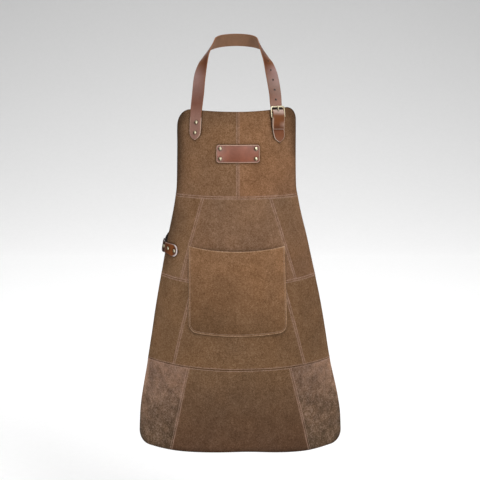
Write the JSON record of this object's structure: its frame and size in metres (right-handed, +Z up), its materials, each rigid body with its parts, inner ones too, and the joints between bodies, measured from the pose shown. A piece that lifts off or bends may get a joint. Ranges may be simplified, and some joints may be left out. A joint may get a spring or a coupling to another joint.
{
  "type": "leather bib apron",
  "caption": "Long suede bib apron pieced from sewn panels, with a patch pocket, a riveted bib patch, a buckled neck strap and a waist strap.",
  "frame": {"origin": "on the inner face of the neck strap, at the back of the wearer's neck, where the apron hangs", "axes": "+Z up, the front of the apron faces -Y, +X to the right of someone who looks at the front"},
  "size_m": [0.5038, 0.2437, 1.0049],
  "materials": {
    "suede": "brushed suede",
    "hem_suede": "brushed suede, greyer",
    "dark_suede": "brushed suede, darker",
    "strap_leather": "smooth waxed",
    "patch_leather": "smooth waxed",
    "brass": "polished"
  },
  "bodies": {
    "root": {"bib_left": "suede", "bib_right": "suede", "centre_upper": "suede", "side_upper_left": "suede", "side_upper_right": "suede", "centre_lower": "suede", "side_lower_left": "suede", "side_lower_right": "suede", "pocket": "suede", "hem_left": "hem_suede", "hem_right": "hem_suede", "hem_centre": "dark_suede", "bib_patch": "patch_leather", "neck_strap": "strap_leather", "buckle_tab": "strap_leather", "hip_tab": "strap_leather", "waist_strap": "strap_leather", "patch_rivet_1": "brass", "patch_rivet_2": "brass", "patch_rivet_3": "brass", "patch_rivet_4": "brass", "neck_rivet_1": "brass", "neck_rivet_2": "brass", "hip_rivet_1": "brass", "hip_rivet_2": "brass", "hip_rivet_3": "brass", "buckle_frame": "brass", "buckle_prong": "brass"}
  },
  "joints": []
}
